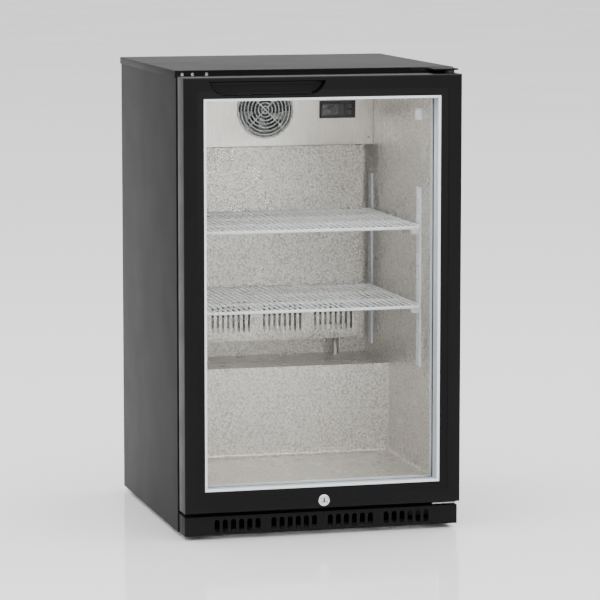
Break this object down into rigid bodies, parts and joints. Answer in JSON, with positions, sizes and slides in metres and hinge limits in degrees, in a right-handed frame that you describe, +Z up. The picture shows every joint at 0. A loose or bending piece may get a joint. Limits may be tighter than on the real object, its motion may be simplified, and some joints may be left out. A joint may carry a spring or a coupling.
{
  "type": "undercounter refrigerator",
  "caption": "Undercounter bottle cooler with one hinged glass door, scoop handle, cam lock, slotted kick grille, wire shelves, rear evaporator cover and machine room.",
  "frame": {"origin": "on the floor under the middle of the closed refrigerator's outer box", "axes": "+X to the right seen from the front, -Y out of the door, +Z up"},
  "size_m": [0.524, 0.5454, 0.85],
  "materials": {
    "black_steel": "satin black powder coat",
    "galvanised_steel": "galvanised sheet",
    "zinc_plate": "zinc plated steel",
    "foam": "rigid polyurethane foam",
    "embossed_aluminium": "stucco embossed",
    "smooth_aluminium": "mill finish",
    "white_plastic": "moulded",
    "black_plastic": "satin moulded",
    "gasket_rubber": "soft pvc",
    "glass": "clear",
    "silver_bead": "silver white",
    "bush_nylon": "nylon",
    "lock_chrome": "polished",
    "white_coated_wire": "white polymer coat on steel",
    "lamp_lens": "opal",
    "compressor_black": "semi gloss",
    "copper": "drawn copper tube"
  },
  "bodies": {
    "cabinet": {"back_panel": "galvanised_steel", "base_plate": "galvanised_steel", "bottom_hinge_bracket": "zinc_plate", "compressor": "compressor_black", "condenser_coil": "smooth_aluminium", "condenser_fan_frame": "galvanised_steel", "controller": "black_plastic", "drip_tray": "smooth_aluminium", "evaporation_tray": "black_plastic", "evaporator_coil": "smooth_aluminium", "evaporator_cover": "embossed_aluminium", "evaporator_fan_motor": "black_plastic", "fan_guard": "black_plastic", "fan_panel": "smooth_aluminium", "filter_drier": "copper", "hinge_screws": "zinc_plate", "insulation": "foam", "kick_grille": "black_steel", "lamp_diffuser": "lamp_lens", "lamp_housing": "white_plastic", "left_side_panel": "black_steel", "liner_back": "embossed_aluminium", "liner_ceiling": "embossed_aluminium", "liner_floor": "embossed_aluminium", "liner_sides": "embossed_aluminium", "liner_step": "embossed_aluminium", "lower_shelf": "white_coated_wire", "machine_bulkhead": "galvanised_steel", "mains_inlet": "black_plastic", "rear_grille": "galvanised_steel", "refrigerant_lines": "copper", "right_side_panel": "black_steel", "shelf_supports": "white_coated_wire", "switch_housing": "white_plastic", "throat_frame": "white_plastic", "top_hinge_bracket": "black_steel", "upper_shelf": "white_coated_wire", "worktop": "black_steel"},
    "door": {"left_stile": "black_plastic", "right_stile": "black_plastic", "top_rail": "black_plastic", "bottom_rail": "black_plastic", "handle_cup": "black_plastic", "outer_glass": "glass", "inner_glass": "glass", "glass_spacer": "silver_bead", "glass_bead": "silver_bead", "door_gasket": "gasket_rubber", "hinge_bushes": "bush_nylon", "lock_body": "lock_chrome"},
    "lock": {"lock_plug": "lock_chrome"},
    "evaporator_fan": {"evaporator_fan_blade": "black_plastic"},
    "condenser_fan": {"condenser_fan_blade": "black_plastic"},
    "set_key": {"set_button": "black_plastic"},
    "mode_key": {"mode_button": "black_plastic"},
    "rocker": {"switch_rocker": "white_plastic"},
    "front_left_foot": {"foot_front_left": "gasket_rubber"},
    "front_right_foot": {"foot_front_right": "gasket_rubber"},
    "rear_left_foot": {"foot_rear_left": "gasket_rubber"},
    "rear_right_foot": {"foot_rear_right": "gasket_rubber"}
  },
  "joints": [
    {"name": "door_hinge", "type": "hinge", "parent": "cabinet", "child": "door", "pos_m": [0.244, -0.24325, 0.445], "axis": [0, 0, 1], "range_deg": [0, 110]},
    {"name": "lock_turn", "type": "hinge", "parent": "door", "child": "lock", "pos_m": [0, -0.27125, 0.0654], "axis": [0, 1, 0], "range_deg": [0, 90]},
    {"name": "evaporator_fan_spin", "type": "hinge", "parent": "cabinet", "child": "evaporator_fan", "pos_m": [0.0025, 0.178, 0.7495], "axis": [0, 1, 0], "continuous": true},
    {"name": "condenser_fan_spin", "type": "hinge", "parent": "cabinet", "child": "condenser_fan", "pos_m": [0.122, 0.129, 0.11], "axis": [0, 1, 0], "continuous": true},
    {"name": "set_press", "type": "slide", "parent": "cabinet", "child": "set_key", "axis": [0, 1, 0], "range_m": [0, 0.0008], "stiffness_N_per_m": 900},
    {"name": "mode_press", "type": "slide", "parent": "cabinet", "child": "mode_key", "axis": [0, 1, 0], "range_m": [0, 0.0008], "stiffness_N_per_m": 900},
    {"name": "rocker_tilt", "type": "hinge", "parent": "cabinet", "child": "rocker", "pos_m": [0.2155, -0.13825, 0.759], "axis": [0, 0, 1], "range_deg": [-16, 0]},
    {"name": "front_left_level", "type": "slide", "parent": "cabinet", "child": "front_left_foot", "axis": [0, 0, -1], "range_m": [0, 0.012]},
    {"name": "front_right_level", "type": "slide", "parent": "cabinet", "child": "front_right_foot", "axis": [0, 0, -1], "range_m": [0, 0.012]},
    {"name": "rear_left_level", "type": "slide", "parent": "cabinet", "child": "rear_left_foot", "axis": [0, 0, -1], "range_m": [0, 0.012]},
    {"name": "rear_right_level", "type": "slide", "parent": "cabinet", "child": "rear_right_foot", "axis": [0, 0, -1], "range_m": [0, 0.012]}
  ]
}
